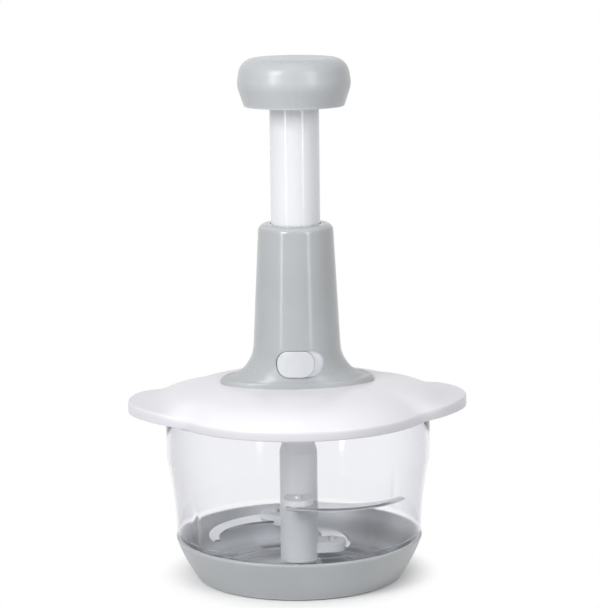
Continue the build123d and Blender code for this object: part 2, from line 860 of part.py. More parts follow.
with BuildPart() as tower_screws:
    with BuildSketch(Plane.XY.offset(lid_underside)):
        with GridLocations(2 * foot_boss_x, 2 * foot_boss_y, 2, 2):
            Circle(screw_head_radius)
    extrude(amount=-screw_head)
    fillet(tower_screws.edges().group_by(Axis.Z)[0], screw_head / 2)
    with BuildSketch(Plane.XY.offset(lid_underside)):
        with GridLocations(2 * foot_boss_x, 2 * foot_boss_y, 2, 2):
            Circle(screw_radius)
    extrude(amount=flare_bottom - tower_wall - screw_tip_gap - lid_underside)
export(tower_screws.part, "tower_screws")

with BuildPart() as guide_sleeve:
    with BuildSketch(Plane.XY.offset(sleeve_bottom)):
        Circle(sleeve_radius)
        Circle(tube_radius + run_gap, mode=Mode.SUBTRACT)
    extrude(amount=sleeve_top - sleeve_bottom)
export(guide_sleeve.part, "guide_sleeve")

# ---------------------------------------------------------------- slide lock
lock_front = Plane(
    (0, 0, lock_height), x_dir=(*polar(1, lock_rest + 90), 0), z_dir=(*polar(1, lock_rest), 0)
)
button_tall = slot_tall - 2 * run_gap
button_corner = slot_corner - run_gap
button_low = lock_height - slot_tall / 2
button_high = lock_height + slot_tall / 2
latch_outer = slot_back_radius - run_gap
screw_seat = latch_inner + (latch_outer - latch_inner) / 3

with BuildPart() as lock_button:
    with BuildSketch(lock_front):
        RectangleRounded(button_width, button_tall, button_corner)
    extrude(amount=foot_x)
    with BuildSketch(Plane.XZ):
        with BuildLine():
            Polyline(
                (slot_floor_radius + run_gap, button_low),
                (tower_radius(button_low) + button_proud, button_low),
                (tower_radius(button_high) + button_proud, button_high),
                (slot_floor_radius + run_gap, button_high),
                close=True,
            )
        make_face()
    revolve(axis=Axis.Z, mode=Mode.INTERSECT)
    face_rim = lock_button.faces().filter_by(GeomType.CONE).edges()
    fillet(face_rim, button_round)
    with BuildSketch(lock_front):
        Rectangle(neck_width, neck_tall)
    extrude(amount=slot_floor_radius + 2 * run_gap)
    with BuildSketch():
        Circle(latch_outer + fit_gap)
    extrude(amount=tower_top, mode=Mode.SUBTRACT)
    with BuildSketch(lock_front):
        Circle(latch_screw_radius + fit_gap)
    extrude(amount=slot_floor_radius + run_gap, mode=Mode.SUBTRACT)
export(lock_button.part, "lock_button")

with BuildPart() as lock_latch:
    with BuildSketch(Plane.XY.offset(tongue_bottom)):
        with BuildLine():
            low, high = lock_rest - latch_span, lock_rest + latch_span
            outer = ThreePointArc(*[polar(latch_outer, a) for a in (low, lock_rest, high)])
            inner = ThreePointArc(*[polar(latch_inner, a) for a in (low, lock_rest, high)])
            Line(outer @ 0, inner @ 0)
            Line(outer @ 1, inner @ 1)
        make_face()
    extrude(amount=latch_tall)
    tongue_plane = Plane(
        (0, 0, tongue_bottom), x_dir=(*polar(1, lock_rest + 90), 0), z_dir=(0, 0, 1)
    )
    with BuildSketch(tongue_plane):
        tongue_end = latch_inner + tongue_lap
        with Locations((0, -(tongue_radius + tongue_end) / 2)):
            Rectangle(tongue_width, tongue_end - tongue_radius)
    extrude(amount=tongue_tall)
    with BuildSketch(lock_front):
        Circle(latch_screw_radius + fit_gap)
    extrude(amount=latch_outer + latch_screw_head, mode=Mode.SUBTRACT)
    with BuildSketch(lock_front):
        Circle(latch_screw_head + fit_gap)
    extrude(amount=screw_seat, mode=Mode.SUBTRACT)
export(lock_latch.part, "lock_latch")

with BuildPart() as latch_screw:
    with BuildSketch(lock_front.offset(screw_seat)):
        Circle(latch_screw_radius)
    extrude(amount=slot_floor_radius - screw_seat)
    with BuildSketch(lock_front.offset(screw_seat)):
        Circle(latch_screw_head)
    extrude(amount=-latch_screw_radius)
export(latch_screw.part, "latch_screw")

# ---------------------------------------------------------------- drive
bar_height = bar_top - bar_bottom


def twisted_bar(width, thick):
    """Flat bar twisted left-handed about the main axis at the spindle's lead."""
    with BuildPart() as bar:
        with BuildLine() as path:
            Line((0, 0, bar_bottom), (0, 0, bar_top))
        with BuildLine(mode=Mode.PRIVATE) as guide:
            Helix(
                pitch=spindle_lead,
                height=bar_height,
                radius=width,
                center=(0, 0, bar_bottom),
                lefthand=True,
            )
        with BuildSketch(Plane.XY.offset(bar_bottom)):
            Rectangle(width, thick)
        sweep(path=path.line, binormal=guide.line.edge())
    return bar.part


with BuildPart() as twisted_spindle:
    with BuildSketch(Plane.XY.offset(spindle_disc_bottom)):
        Circle(spindle_disc_radius)
    extrude(amount=spindle_disc)
    with BuildSketch(Plane.XY.offset(spindle_disc_bottom)):
        Rectangle(tang_width, tang_width)
    extrude(amount=-tang_depth)
    add(twisted_bar(bar_width, bar_thick))
    with BuildSketch(Plane.XY.offset(spindle_disc_bottom - tang_depth)):
        Circle(coupling_screw_radius + fit_gap)
    extrude(amount=tang_depth - run_gap, mode=Mode.SUBTRACT)
export(twisted_spindle.part, "twisted_spindle")

with BuildPart() as drive_coupling:
    with BuildSketch(Plane.XY.offset(plug_tip)):
        RegularPolygon(hex_radius, 6)
    extrude(amount=coupling_collar_bottom - plug_tip)
    with BuildSketch(Plane.XY.offset(coupling_collar_bottom)):
        Circle(coupling_collar_radius)
    extrude(amount=coupling_collar)
    with BuildSketch(Plane.XY.offset(coupling_collar_top)):
        Circle(journal_radius)
    extrude(amount=spindle_disc_bottom - coupling_collar_top)
    with BuildSketch(Plane.XY.offset(spindle_disc_bottom)):
        Rectangle(tang_width + 2 * fit_gap, tang_width + 2 * fit_gap)
    extrude(amount=-tang_depth, mode=Mode.SUBTRACT)
    with BuildSketch(Plane.XY.offset(plug_tip)):
        Circle(screw_head_radius + fit_gap)
    extrude(amount=screw_head, mode=Mode.SUBTRACT)
    with BuildSketch(Plane.XY.offset(plug_tip)):
        Circle(coupling_screw_radius + fit_gap)
    extrude(until=Until.LAST, mode=Mode.SUBTRACT)
export(drive_coupling.part, "drive_coupling")

with BuildPart() as coupling_screw:
    with BuildSketch(Plane.XY.offset(plug_tip)):
        Circle(screw_head_radius)
    extrude(amount=screw_head)
    with BuildSketch(Plane.XY.offset(plug_tip + screw_head)):
        Circle(coupling_screw_radius)
    extrude(amount=spindle_disc_bottom - 2 * run_gap - plug_tip - screw_head)
export(coupling_screw.part, "coupling_screw")

with BuildPart() as spring_seat:
    with BuildSketch(Plane.XY.offset(seat_bottom)):
        Circle(seat_boss_radius)
    extrude(amount=seat_boss_depth)
    with BuildSketch(Plane.XY.offset(seat_disc_bottom)):
        Circle(seat_radius)
    extrude(amount=seat_disc)
    with BuildSketch(Plane.XY.offset(seat_disc_top)):
        Circle(seat_spigot_radius)
    extrude(amount=seat_spigot)
    fillet(spring_seat.edges().group_by(Axis.Z)[-1], seat_spigot / 2)
    with BuildSketch(Plane.XY.offset(seat_bottom)):
        Circle(hypot(bar_width, bar_thick) / 2 + run_gap)
    extrude(amount=bar_top + run_gap - seat_bottom, mode=Mode.SUBTRACT)
export(spring_seat.part, "spring_seat")

# ---------------------------------------------------------------- plunger
with BuildPart() as plunger_tube:
    with BuildSketch(Plane.XY.offset(tube_bottom)):
        Circle(tube_radius)
    extrude(amount=tube_top - tube_bottom)
    with BuildSketch(Plane.XY.offset(plate_top)):
        Circle(collar_radius)
    extrude(amount=collar_height)
    with BuildSketch(Plane.XY.offset(tube_bottom)):
        Circle(tube_bore)
    extrude(amount=tube_ceiling - tube_bottom, mode=Mode.SUBTRACT)
    fillet(plunger_tube.edges().group_by(Axis.Z)[-1], tube_grip)
export(plunger_tube.part, "plunger_tube")

with BuildPart() as drive_nut:
    with BuildSketch(Plane.XY.offset(nut_bottom)):
        Circle(nut_radius)
        # Notches for the tower's two ribs
        with PolarLocations((nut_radius + tower_rib_radius - run_gap) / 2, 2):
            rib_notch = nut_radius - tower_rib_radius + run_gap
            Rectangle(rib_notch + run_gap, tower_rib_width + 2 * run_gap, mode=Mode.SUBTRACT)
        # Notch that passes the latch's tongue while it is unlocked
        with PolarLocations(nut_radius, 1, start_angle=lock_rest):
            tongue_notch = 2 * (nut_radius - tongue_radius + run_gap)
            Rectangle(tongue_notch, notch_width, mode=Mode.SUBTRACT)
    extrude(amount=nut_thick)
    with BuildSketch(Plane.XY.offset(tube_bottom)):
        Circle(tube_bore - fit_gap)
        Circle(tube_bore - nut_plug_wall, mode=Mode.SUBTRACT)
    extrude(amount=nut_plug)
    add(twisted_bar(bar_width + 2 * run_gap, bar_thick + 2 * run_gap), mode=Mode.SUBTRACT)
export(drive_nut.part, "drive_nut")

with BuildPart() as knob_plate_disc:
    with BuildSketch(Plane.XY.offset(plate_bottom)):
        Circle(knob_bottom_radius - knob_bottom_round - run_gap)
        Circle(tube_radius + fit_gap, mode=Mode.SUBTRACT)
    extrude(amount=knob_plate)
    with Locations(Plane.XY.offset(plate_bottom)):
        with PolarLocations(knob_screw_circle, knob_screw_count, start_angle=90):
            with Locations(Rotation(180, 0, 0)):
                CounterBoreHole(screw_radius + fit_gap, screw_head_radius + fit_gap, screw_head, knob_plate)
export(knob_plate_disc.part, "knob_plate")

with BuildPart() as knob_cap:
    with BuildSketch(Plane.XZ):
        with BuildLine():
            Polyline(
                (0, knob_bottom),
                (knob_bottom_radius, knob_bottom),
                (knob_belly_radius, knob_belly_height),
                (knob_top_radius, knob_top),
                (0, knob_top),
                close=True,
            )
        make_face()
    revolve(axis=Axis.Z)
    fillet(knob_cap.edges().group_by(Axis.Z)[-1], knob_top_round)
    belly = knob_cap.edges().filter_by(
        lambda edge: edge.geom_type == GeomType.CIRCLE
        and abs(edge.radius - knob_belly_radius) < fit_gap
    )
    fillet(belly, knob_belly_round)
    offset(amount=-knob_wall, openings=knob_cap.faces().sort_by(Axis.Z)[0])
    # Mouth for the plate, ring that holds the tube's collar, and screw bosses
    with BuildSketch(Plane.XY.offset(knob_bottom)):
        Circle(knob_bottom_radius - knob_bottom_round)
    extrude(amount=plate_top - knob_bottom, mode=Mode.SUBTRACT)
    with BuildSketch(Plane.XY.offset(collar_top)):
        Circle(tube_radius + 2 * run_gap + knob_collar_wall)
        Circle(tube_radius + 2 * run_gap, mode=Mode.SUBTRACT)
    extrude(amount=knob_ceiling + run_gap - collar_top)
    with BuildSketch(Plane.XY.offset(plate_top)):
        with PolarLocations(knob_screw_circle, knob_screw_count, start_angle=90):
            Circle(knob_boss_radius)
    extrude(amount=knob_ceiling + run_gap - plate_top)
    with BuildSketch(Plane.XY.offset(plate_top)):
        Circle(collar_radius + run_gap)
    extrude(amount=collar_height, mode=Mode.SUBTRACT)
    with BuildSketch(Plane.XY.offset(plate_top)):
        with PolarLocations(knob_screw_circle, knob_screw_count, start_angle=90):
            Circle(screw_radius + fit_gap)
    extrude(amount=knob_screw_depth + run_gap, mode=Mode.SUBTRACT)
export(knob_cap.part, "knob_cap")

with BuildPart() as knob_screws:
    with BuildSketch(Plane.XY.offset(plate_bottom)):
        with PolarLocations(knob_screw_circle, knob_screw_count, start_angle=90):
            Circle(screw_head_radius)
    extrude(amount=screw_head)
    with BuildSketch(Plane.XY.offset(plate_bottom + screw_head)):
        with PolarLocations(knob_screw_circle, knob_screw_count, start_angle=90):
            Circle(screw_radius)
    extrude(amount=plate_top + knob_screw_depth - plate_bottom - screw_head)
export(knob_screws.part, "knob_screws")

# ---------------------------------------------------------------- return spring
spring_low = seat_disc_top + wire_radius
spring_high = tube_ceiling - wire_radius

with BuildPart() as return_spring:
    with BuildLine() as coil:
        Helix(
            pitch=(spring_high - spring_low) / coil_count,
            height=spring_high - spring_low,
            radius=coil_radius,
            center=(0, 0, spring_low),
        )
    with BuildSketch(Plane(coil.line @ 0, z_dir=coil.line % 0)):
        Circle(wire_radius)
    sweep(path=coil.line, is_frenet=True)
export(return_spring.part, "return_spring")

print(f"stroke {stroke} mm, spindle turns per stroke {stroke / spindle_lead:.2f}")
print(f"spring {spring_high - spring_low:.1f} mm at rest, {spring_high - spring_low - stroke:.1f} mm pressed")
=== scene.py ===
# %% [markdown]
# # A plunger food chopper, dressed for the studio
#
# The chopper stands on a round base cup. A clear bowl sits in the cup, a lid with two ears closes it, and a
# tower on the lid guides a white plunger tube with a broad knob. Inside the bowl three sickle blades turn on
# one hub. The measured solids arrive as a fixed frame, in metres, and every piece made here rides on one of
# the frame's bodies, so that the whole thing still works when it is pressed.

# %% The frame
import json
from math import acos, asin, atan2, cos, exp, pi, radians, sin, sqrt

import bmesh
import bpy
from mathutils import Matrix, Vector


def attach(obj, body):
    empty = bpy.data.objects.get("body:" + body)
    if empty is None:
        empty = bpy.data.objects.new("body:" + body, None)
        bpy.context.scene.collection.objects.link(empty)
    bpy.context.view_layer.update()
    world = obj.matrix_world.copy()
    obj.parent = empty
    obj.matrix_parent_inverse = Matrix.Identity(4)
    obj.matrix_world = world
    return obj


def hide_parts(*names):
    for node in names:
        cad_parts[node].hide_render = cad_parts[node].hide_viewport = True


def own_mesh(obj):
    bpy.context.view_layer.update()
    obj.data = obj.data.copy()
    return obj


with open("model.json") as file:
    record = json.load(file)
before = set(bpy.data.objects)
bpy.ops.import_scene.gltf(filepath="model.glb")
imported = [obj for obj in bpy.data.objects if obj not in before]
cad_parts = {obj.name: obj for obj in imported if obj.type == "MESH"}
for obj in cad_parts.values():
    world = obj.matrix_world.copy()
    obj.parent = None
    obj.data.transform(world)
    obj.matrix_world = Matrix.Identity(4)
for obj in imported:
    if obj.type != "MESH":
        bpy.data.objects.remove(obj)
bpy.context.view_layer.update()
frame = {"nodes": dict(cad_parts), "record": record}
mm = 0.001

# %% [markdown]
# ## Wiring up a finish
#
# Blender builds a material from nodes. Clicking them together is fine for one material, but thirteen
# plastic, metal and rubber finishes share the same sums, so a small class lets a sum be written as one:
# `1 - mask` adds the Math node that does it.

# %% A value on its way through the nodes
class Wire:
    """One socket of a finish, which takes part in sums as a number does."""

    def __init__(self, finish, socket):
        self.finish, self.socket = finish, socket

    def sum(self, operation, *values):
        return self.finish.node("ShaderNodeMath", {"operation": operation}, values)[0]

    def __add__(self, other):
        return self.sum("ADD", self, other)

    def __sub__(self, other):
        return self.sum("SUBTRACT", self, other)

    def __rsub__(self, other):
        return self.sum("SUBTRACT", other, self)

    def __mul__(self, other):
        return self.sum("MULTIPLY", self, other)

    def __pow__(self, other):
        return self.sum("POWER", self, other)

    def __abs__(self):
        return self.sum("ABSOLUTE", self)

    __radd__ = __add__
    __rmul__ = __mul__


# %% A finish and its nodes
class Finish:
    """A material whose nodes are added one call at a time."""

    def __init__(self, name, **sockets):
        self.material = bpy.data.materials.new(name)
        self.material.use_nodes = True
        self.nodes, self.links = self.material.node_tree.nodes, self.material.node_tree.links
        self.shader = self.nodes["Principled BSDF"]
        self.place = self.node("ShaderNodeTexCoord", {}, {})["Object"]
        self.set(**sockets)

    def node(self, kind, settings, values):
        """Add a node: its settings first, then the numbers or wires of its sockets. Returns its outputs."""
        node = self.nodes.new(kind)
        for name, value in settings.items():
            setattr(node, name, value)
        named = values.items() if isinstance(values, dict) else enumerate(values)
        for name, value in named:
            if isinstance(value, Wire):
                self.links.new(value.socket, node.inputs[name])
            else:
                node.inputs[name].default_value = value
        outputs = {output.name: Wire(self, output) for output in node.outputs}
        outputs[0] = Wire(self, next(output for output in node.outputs if output.enabled))
        return outputs

    def set(self, **sockets):
        """Feed the surface's own sockets, such as Base_Color."""
        for name, value in sockets.items():
            socket = self.shader.inputs[name.replace("_", " ")]
            if isinstance(value, Wire):
                self.links.new(value.socket, socket)
            else:
                socket.default_value = value

    def fed(self, name):
        """What already feeds one of the surface's own sockets, such as Base Color."""
        return Wire(self, self.shader.inputs[name].links[0].from_socket)

    def pick(self, which, one, other):
        """The larger or the smaller of two values: `which` is MAXIMUM or MINIMUM."""
        return self.node("ShaderNodeMath", {"operation": which}, [one, other])[0]

    def noise(self, size, detail=2.0, stretch=(1, 1, 1), place=None):
        """Soft random variation whose blotches are about `size` metres across."""
        scaled = self.node("ShaderNodeVectorMath", {"operation": "MULTIPLY"}, [place or self.place, stretch])[0]
        return self.node("ShaderNodeTexNoise", {}, {"Vector": scaled, "Scale": 1 / size, "Detail": detail})["Fac"]

    def step(self, value, low, high):
        """0 below `low`, 1 above `high`, and a smooth rise between them."""
        settings = {"interpolation_type": "SMOOTHSTEP"}
        return self.node("ShaderNodeMapRange", settings, {"Value": value, "From Min": low, "From Max": high})[0]

    def blend(self, share, one, other):
        """Mix two colours."""
        settings = {"data_type": "RGBA", "clamp_factor": True}
        return self.node("ShaderNodeMix", settings, {0: share, 6: one, 7: other})[0]

    def bump(self, height, depth, under=None):
        """Turn a height into a normal. `depth` is how deep the full height is, in metres."""
        values = {"Height": height, "Distance": depth}
        if under:
            values["Normal"] = under
        return self.node("ShaderNodeBump", {}, values)["Normal"]

    def parts(self):
        """The place on the piece as separate x, y and z, and its distance from the main axis."""
        split = self.node("ShaderNodeSeparateXYZ", {}, [self.place])
        x, y, z = split["X"], split["Y"], split["Z"]
        return x, y, z, (x * x + y * y) ** 0.5

    def show(self, share, other):
        """Let another shader take a share of the surface."""
        surface = self.nodes["Material Output"].inputs["Surface"]
        mixed = self.node("ShaderNodeMixShader", {}, {0: share, 2: other})[0]
        self.links.new(surface.links[0].from_socket, mixed.socket.node.inputs[1])
        self.links.new(mixed.socket, surface)


def paint(red, green, blue):
    """A colour given as it looks on a screen, 0 to 255, made linear for the shader."""
    return (*[(c / 255 / 12.92) if c < 11 else ((c / 255 + 0.055) / 1.055) ** 2.4 for c in (red, green, blue)], 1.0)


def tint(colour, share):
    """The same colour, lighter or darker by a share."""
    return (*[min(1.0, c * share) for c in colour[:3]], 1.0)


print("finishes are wired with", Wire.__name__, "and", Finish.__name__)

# %% [markdown]
# ## Moulded plastic
#
# The knob, tower, button, base and hub are injection moulded and left as they come out of the mould: a very
# fine spark-eroded grain, a colour that drifts a little where the melt flowed, and rims that hands and
# dishcloths have rubbed smoother, which are also painted paler as a painted highlight along each edge. An image
# of such a surface would blur up close. Noise at three sizes does not, and a distance from each rim says where
# the rubbing and the painted highlight are.

# %% Moulded plastic
def moulded(name, colour, gloss, grain=1.0, rims=(), drift=0.04):
    """Satin plastic. `rims` are circles round the main axis, as radius and height, that hands have polished and
    that get a painted highlight.
    """
    skin = Finish(name, IOR=1.5)
    x, y, z, radius = skin.parts()
    cloud = skin.noise(0.045, 3)
    speck = skin.noise(0.0007, 2)
    wipe = skin.noise(0.006, 2, stretch=(1, 1, 0.12))
    tone = skin.blend(skin.step(cloud, 0.3, 0.7), tint(colour, 1 - drift), tint(colour, 1 + drift))
    tone = skin.blend(skin.step(speck, 0.62, 0.8) * 0.25, tone, tint(colour, 0.86))
    rim_wear_and_highlight = 0.0
    for rim_radius, rim_height in rims:
        far = ((radius - rim_radius * mm) ** 2 + (z - rim_height * mm) ** 2) ** 0.5
        rim_wear_and_highlight = (1 - skin.step(far, 0.0003, 0.002)) * (0.5 + cloud) + rim_wear_and_highlight
    # painted highlight: the rubbed rims are painted paler, besides being made smoother
    worn_and_highlit = skin.blend(rim_wear_and_highlight * 0.5, tone, tint(colour, 1.3))
    rough = gloss + (wipe - 0.5) * 0.14 + (speck - 0.5) * 0.1
    skin.set(Base_Color=worn_and_highlit, Roughness=rough - rim_wear_and_highlight * 0.12)
    skin.set(Normal=skin.bump(speck * 0.6 + wipe * 0.4, 0.00004 * grain))
    return skin


knob_grey = moulded("knob_grey_moulding", paint(186, 189, 192), 0.3, 0.3, rims=((31.5, 301), (30, 331)))
tower_grey = moulded("tower_grey_moulding", paint(175, 178, 180), 0.17, 0.25, rims=((22.6, 226), (16.2, 227)))
base_grey = moulded("base_grey_moulding", paint(165, 168, 170), 0.36, 0.5, rims=((78.5, 26), (65.8, 0.6)))
hub_grey = moulded("hub_pale_moulding", paint(243, 244, 246), 0.32, rims=((10.3, 104),))
button_grey = moulded("button_pale_moulding", paint(208, 210, 214), 0.26, grain=0.6)
print("moulded:", knob_grey.material.name, tower_grey.material.name, base_grey.material.name)

# %% [markdown]
# The slot that the lock button slides in lies in the shade of its walls and of the button, so its floor is
# painted paler than the tower round it, a painted light that lifts that shade. The tower is one solid, so a mask
# finds the floor instead: at the button's height it is the only surface in front of the axis that lies inside
# the tower's outer skin. The tower's flared foot is coarser than its shaft, because the mould was polished only
# where hands grip.

# %% The tower's slot and foot
button_height, slot_half_height, slot_depth_radius = 0.1415, 0.0084, 0.0272
foot_low, foot_high = 0.13, 0.146

x, y, z, radius = tower_grey.parts()
coarse_foot = 1 - tower_grey.step(z, foot_low, foot_high)
tower_grey.set(Roughness=coarse_foot * 0.16 + tower_grey.fed("Roughness"))
level = 1 - tower_grey.step(abs(z - button_height), slot_half_height, slot_half_height + 0.0004)
inside = 1 - tower_grey.step(radius, slot_depth_radius, slot_depth_radius + 0.0004)
front = tower_grey.step(0 - y, 0.012, 0.014)
# painted light: the shaded slot floor is painted paler than the tower
painted_light_slot_floor = level * inside * front
tower_grey.set(Base_Color=tower_grey.blend(painted_light_slot_floor, tower_grey.fed("Base Color"), paint(232, 234, 238)))
print("masked:", tower_grey.material.name)

# %% [markdown]
# The cup's inside lies in the shade of the bowl and the lid, and it is painted paler than its outside, a painted
# light that lifts that shade. Its floor has two moulded rings, which a mask on the radius darkens with painted
# shade and sinks with a bump. The cup's wall leans outwards, so the mask that tells inside from outside takes off
# as much of the radius as the wall has leaned by that height. The hub is painted darker towards its lower end,
# painted shade, so that its upper end, which the lid shades, reads as the paler part.

# %% The cup's inside and the hub's lower end
ring_radii, wall_lean, inner_radius = (45, 57), 0.52, 0.0635

x, y, z, radius = base_grey.parts()
# painted shade: the floor rings are darkened as well as sunk by a bump
rings = 0.0
for ring in ring_radii:
    rings = 1 - base_grey.step(abs(radius - ring * mm), 0.0008, 0.0022) + rings
rings = rings * base_grey.step(z, 0.003, 0.0034) * (1 - base_grey.step(z, 0.01, 0.012))
# painted light: the cup's shaded inside is painted paler than its outside
inside_painted_light = 1 - base_grey.step(radius - z * wall_lean, inner_radius, inner_radius + 0.0007)
inside_painted_light = inside_painted_light * base_grey.step(z, 0.002, 0.0026)
pale = base_grey.blend(inside_painted_light, base_grey.fed("Base Color"), paint(226, 229, 232))
base_grey.set(Base_Color=base_grey.blend(rings * 0.4, pale, paint(124, 126, 129)))
base_grey.set(Normal=base_grey.bump(1 - rings, 0.0008, under=base_grey.fed("Normal")))

# painted shade: the hub is painted darker towards its lower end, so the end the lid shades reads paler
hub_low_painted_shade = 1 - hub_grey.step(hub_grey.parts()[2], 0.03, 0.1)
hub_grey.set(Base_Color=hub_grey.blend(hub_low_painted_shade * 0.6, hub_grey.fed("Base Color"), paint(196, 199, 201)))
print("masked:", base_grey.material.name, hub_grey.material.name)

# %% [markdown]
# ## White and bearing plastics
#
# The lid is a glossier white with a faint cool tint, and washing leaves broad dull patches on it. Its skirt
# and its ears, which face the light less than the dome, are painted a shade greyer than the dome, a painted
# shade. The plunger tube is polished, with hair-fine upright scratches where it slides through its sleeve. The
# bush, the sleeve and the spring's seat are a natural, waxy bearing plastic. All three are one recipe with other
# numbers: a Coat would double the highlights, so the gloss comes from a low roughness alone.

# %% White plastics
def glossy(name, colour, gloss, scratch, scratch_size, stretch, haze=0.1):
    """Bright plastic with fine scratches along one direction and dull, washed patches."""
    skin = Finish(name, IOR=1.49)
    cloud = skin.noise(0.03, 3)
    hair = skin.noise(scratch_size, 3, stretch=stretch)
    marks = skin.step(hair, 0.56, 0.72)
    tone = skin.blend(skin.step(cloud, 0.3, 0.7), tint(colour, 0.985), tint(colour, 1.01))
    skin.set(Base_Color=skin.blend(marks * 0.3 * scratch, tone, tint(colour, 0.9)))
    skin.set(Roughness=gloss + skin.step(cloud, 0.45, 0.75) * haze + marks * 0.2 * scratch)
    skin.set(Normal=skin.bump(hair * 0.5 + cloud, 0.00003 * scratch))
    return skin


lid_white = glossy("lid_white_moulding", paint(234, 233, 238), 0.3, 0.25, 0.0009, (1, 1, 1), haze=0.04)
tube_white = glossy("tube_polished_white", paint(231, 232, 236), 0.12, 0.6, 0.0006, (1, 1, 0.015), haze=0.04)
bearing = glossy("bearing_plastic_waxy", paint(226, 223, 213), 0.34, 0.6, 0.0009, (1, 1, 0.1))

skirt_low, skirt_high, rise_at_ear = 0.1088, 0.1118, 0.0033

x, y, z, radius = lid_white.parts()
out_on_ear = lid_white.step(abs(x), 0.076, 0.092)
on_skirt = 1 - lid_white.step(z - out_on_ear * rise_at_ear, skirt_low, skirt_high)
# painted shade: the skirt and the ears, which face the light less, are painted greyer
skirt_and_ear_painted_shade = lid_white.pick("MAXIMUM", on_skirt, out_on_ear * 0.75)
lid_white.set(Base_Color=lid_white.blend(skirt_and_ear_painted_shade, lid_white.fed("Base Color"), paint(222, 221, 227)))
print("white:", lid_white.material.name, tube_white.material.name, bearing.material.name)

# %% [markdown]
# ## Clear bowl
#
# The bowl is a hard clear plastic. Glass in a path tracer casts a black shadow unless its caustics are
# traced, which takes very long, so the shadow and diffuse rays pass straight through a transparent shader
# and only what is seen, mirrored or refracted meets the real one. The wall looks a little denser where it is
# seen edge on, and noise at two sizes is the haze that washing leaves. A thin wall bends light one way at
# its first face and back at its second, so a low index looks right and keeps the edges from going black, and
# a Fresnel share of gloss gives back the shine that the low index takes away. The part that dips into the
# cup does without bending: there the wall is a thin tinted film, and the cup's inside stays bright.

# %% Clear plastic
clear_face, clear_edge = (0.935, 0.938, 0.955, 1.0), (0.7, 0.7, 0.74, 1.0)
film_face, film_edge = (0.99, 0.991, 0.994, 1.0), (0.82, 0.82, 0.85, 1.0)
cup_rim_low, cup_rim_high = 0.029, 0.031

bowl_clear = Finish("bowl_clear_plastic", Transmission_Weight=1.0, IOR=1.13)
wipe = bowl_clear.noise(0.02, 3, stretch=(1, 1, 0.4))
fine = bowl_clear.noise(0.0011, 2)
edge_on = bowl_clear.node("ShaderNodeLayerWeight", {}, {"Blend": 0.5})["Facing"]
dense = bowl_clear.blend(bowl_clear.step(edge_on, 0.2, 0.95), clear_face, clear_edge)
bowl_clear.set(Base_Color=dense, Roughness=0.015 + bowl_clear.step(wipe, 0.5, 0.8) * 0.02)
bowl_clear.set(Normal=bowl_clear.bump(fine, 0.000004))

clear = bowl_clear.node("ShaderNodeBsdfTransparent", {}, {"Color": film_face})[0]
smoky = bowl_clear.node("ShaderNodeBsdfTransparent", {}, {"Color": film_edge})[0]
thin = bowl_clear.node("ShaderNodeMixShader", {}, {0: bowl_clear.step(edge_on, 0.5, 1.0), 1: clear, 2: smoky})[0]
shine = bowl_clear.node("ShaderNodeBsdfAnisotropic", {}, {"Color": (1, 1, 1, 1), "Roughness": 0.04})[0]

held = 1 - bowl_clear.step(bowl_clear.parts()[2], cup_rim_low, cup_rim_high)
mirror = bowl_clear.node("ShaderNodeFresnel", {}, {"IOR": 1.4})[0]
inner_side = bowl_clear.node("ShaderNodeNewGeometry", {}, {})["Backfacing"]
rays = bowl_clear.node("ShaderNodeLightPath", {}, {})
bowl_clear.show(held * 0.95, thin)
bowl_clear.show(mirror * (1 - inner_side) * 0.6, shine)
bowl_clear.show(bowl_clear.pick("MAXIMUM", rays["Is Shadow Ray"], rays["Is Diffuse Ray"]), clear)
print("clear:", bowl_clear.material.name)

# %% [markdown]
# ## Steel
#
# The blades are stamped from stainless strip and ground while they turn, so the grinding marks run round the
# hub's axis: noise read along the radius alone makes rings, and a second noise breaks them up. Screws and the
# twisted spindle are turned or drawn, and the spring is bare wire with a darker drawn skin.

# %% Steel
def steel(name, colour, rough, ring_size, along=(0, 0, 1)):
    """Bare steel whose fine marks run round the main axis, or along it where `along` is stretched."""
    skin = Finish(name, Metallic=1.0)
    x, y, z, radius = skin.parts()
    rings = skin.node("ShaderNodeCombineXYZ", {}, [radius, 0.0, z])[0]
    grind = skin.noise(ring_size, 4, stretch=(1, 1, 0.2), place=rings)
    cloud = skin.noise(0.012, 3)
    tone = skin.blend(grind, tint(colour, 0.86), tint(colour, 1.08))
    skin.set(Base_Color=skin.blend(skin.step(cloud, 0.35, 0.75) * 0.3, tone, tint(colour, 0.8)))
    skin.set(Roughness=rough + (grind - 0.5) * 0.22 + (cloud - 0.5) * 0.1)
    skin.set(Normal=skin.bump(grind, 0.00001))
    return skin


blade_steel = steel("blade_ground_steel", paint(214, 216, 219), 0.2, 0.0006)
plain_steel = steel("screw_steel", paint(205, 207, 210), 0.3, 0.0008)
spring_steel = steel("spring_wire", paint(178, 180, 184), 0.32, 0.0015)
print("steel:", blade_steel.material.name, plain_steel.material.name, spring_steel.material.name)

# %% [markdown]
# ## Soft rings
#
# The foot ring is a dark grip rubber with a dusty bloom, and the lid's seals are a cloudy silicone. Both are
# too soft to take a shine, so their roughness is high and a fine bump breaks every highlight.

# %% Rubber and silicone
def soft(name, colour, rough, dust, **more):
    """A matt, slightly dusty rubber."""
    skin = Finish(name, **more)
    cloud = skin.noise(0.014, 3)
    grit = skin.noise(0.0005, 2)
    skin.set(Base_Color=skin.blend(skin.step(cloud, 0.4, 0.8) * dust, colour, paint(196, 194, 190)))
    skin.set(Roughness=rough + (cloud - 0.5) * 0.2, Normal=skin.bump(grit, 0.00006))
    return skin


rubber = soft("foot_ring_rubber", paint(74, 76, 78), 0.72, 0.2)
silicone = soft("seal_silicone", paint(226, 229, 233), 0.42, 0.06, Subsurface_Weight=0.2)
print("soft:", rubber.material.name, silicone.material.name)

# %% [markdown]
# ## Dressing the solids
#
# Each solid names a slot, such as grey_plastic, and a slot has one finish. That slot alone is split further,
# because the knob, the tower and the hub were each moulded in a slightly different grey.

